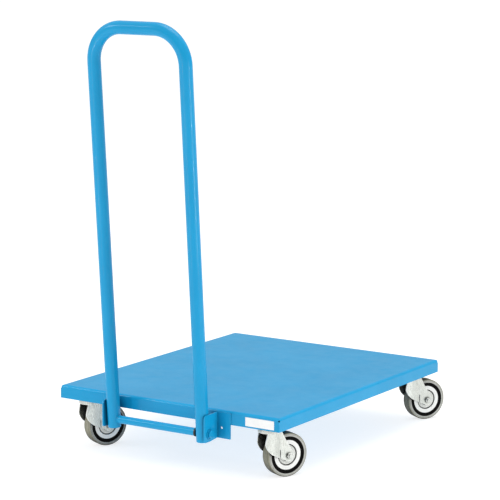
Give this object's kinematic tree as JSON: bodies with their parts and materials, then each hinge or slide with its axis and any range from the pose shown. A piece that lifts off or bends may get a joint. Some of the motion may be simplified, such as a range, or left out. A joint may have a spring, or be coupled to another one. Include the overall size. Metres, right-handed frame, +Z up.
{
  "type": "platform trolley",
  "caption": "Flat steel platform trolley with a folded-edge deck, swivel casters and a narrow tubular push handle hinged outside one end.",
  "frame": {"origin": "on the floor, under the middle of the whole outline (handle top to far tyres, deck side to deck side)", "axes": "+Z up; +X across the deck, to the right when standing behind the handle; +Y along the deck, from the handle to the far end"},
  "size_m": [0.6054, 0.9009, 1.0085],
  "materials": {
    "blue_paint": "glossy light blue powder coat",
    "zinc_steel": "bright zinc plate",
    "bearing_steel": "polished",
    "grey_rubber": "matt non-marking grey rubber",
    "black_rubber": "matt",
    "core_plastic": "satin light grey moulding",
    "bearing_plastic": "natural nylon",
    "black_plastic": "satin",
    "label_film": "blank white adhesive film"
  },
  "bodies": {
    "chassis": {"deck_tray": "blue_paint", "near_channel": "blue_paint", "far_channel": "blue_paint", "deck_stiffener": "blue_paint", "blank_label": "label_film", "bracket_left": "blue_paint", "bracket_right": "blue_paint", "hinge_rod": "blue_paint", "hinge_washers": "blue_paint", "hinge_nuts": "blue_paint", "kingpins": "zinc_steel", "swivel_balls": "bearing_steel", "plate_bolts": "zinc_steel", "weld_nuts": "zinc_steel", "near_left_top_plate": "zinc_steel", "near_right_top_plate": "zinc_steel", "far_left_top_plate": "zinc_steel", "far_right_top_plate": "zinc_steel"},
    "handle": {"handle_tube": "blue_paint", "spacer_tube": "blue_paint", "spacer_washer": "black_plastic", "leg_plugs": "black_plastic"},
    "near_left_caster": {"near_left_fork": "zinc_steel", "near_left_axle_bolt": "zinc_steel", "near_left_axle_nut": "zinc_steel", "near_left_axle_sleeve": "zinc_steel"},
    "near_left_wheel": {"near_left_wheel_bearing": "bearing_plastic", "near_left_wheel_core": "core_plastic", "near_left_tyre_band": "black_rubber", "near_left_tyre": "grey_rubber"},
    "near_right_caster": {"near_right_fork": "zinc_steel", "near_right_axle_bolt": "zinc_steel", "near_right_axle_nut": "zinc_steel", "near_right_axle_sleeve": "zinc_steel"},
    "near_right_wheel": {"near_right_wheel_bearing": "bearing_plastic", "near_right_wheel_core": "core_plastic", "near_right_tyre_band": "black_rubber", "near_right_tyre": "grey_rubber"},
    "far_left_caster": {"far_left_fork": "zinc_steel", "far_left_axle_bolt": "zinc_steel", "far_left_axle_nut": "zinc_steel", "far_left_axle_sleeve": "zinc_steel"},
    "far_left_wheel": {"far_left_wheel_bearing": "bearing_plastic", "far_left_wheel_core": "core_plastic", "far_left_tyre_band": "black_rubber", "far_left_tyre": "grey_rubber"},
    "far_right_caster": {"far_right_fork": "zinc_steel", "far_right_axle_bolt": "zinc_steel", "far_right_axle_nut": "zinc_steel", "far_right_axle_sleeve": "zinc_steel"},
    "far_right_wheel": {"far_right_wheel_bearing": "bearing_plastic", "far_right_wheel_core": "core_plastic", "far_right_tyre_band": "black_rubber", "far_right_tyre": "grey_rubber"}
  },
  "joints": [
    {"name": "handle_fold", "type": "hinge", "parent": "chassis", "child": "handle", "pos_m": [0, -0.36207, 0.1005], "axis": [1, 0, 0], "range_deg": [-26, 265.3]},
    {"name": "near_left_swivel", "type": "hinge", "parent": "chassis", "child": "near_left_caster", "pos_m": [-0.2475, -0.28307, 0.11325], "axis": [0, 0, 1], "continuous": true},
    {"name": "near_left_wheel_spin", "type": "hinge", "parent": "near_left_caster", "child": "near_left_wheel", "pos_m": [-0.23102, -0.24772, 0.05], "axis": [0.9063, -0.4226, 0], "continuous": true},
    {"name": "near_right_swivel", "type": "hinge", "parent": "chassis", "child": "near_right_caster", "pos_m": [0.2475, -0.28307, 0.11325], "axis": [0, 0, 1], "continuous": true},
    {"name": "near_right_wheel_spin", "type": "hinge", "parent": "near_right_caster", "child": "near_right_wheel", "pos_m": [0.26521, -0.24832, 0.05], "axis": [0.891, -0.454, 0], "continuous": true},
    {"name": "far_left_swivel", "type": "hinge", "parent": "chassis", "child": "far_left_caster", "pos_m": [-0.2475, 0.36693, 0.11325], "axis": [0, 0, 1], "continuous": true},
    {"name": "far_left_wheel_spin", "type": "hinge", "parent": "far_left_caster", "child": "far_left_wheel", "pos_m": [-0.22859, 0.40104, 0.05], "axis": [0.8746, -0.4848, 0], "continuous": true},
    {"name": "far_right_swivel", "type": "hinge", "parent": "chassis", "child": "far_right_caster", "pos_m": [0.2475, 0.36693, 0.11325], "axis": [0, 0, 1], "continuous": true},
    {"name": "far_right_wheel_spin", "type": "hinge", "parent": "far_right_caster", "child": "far_right_wheel", "pos_m": [0.26817, 0.40001, 0.05], "axis": [0.848, -0.5299, 0], "continuous": true}
  ]
}
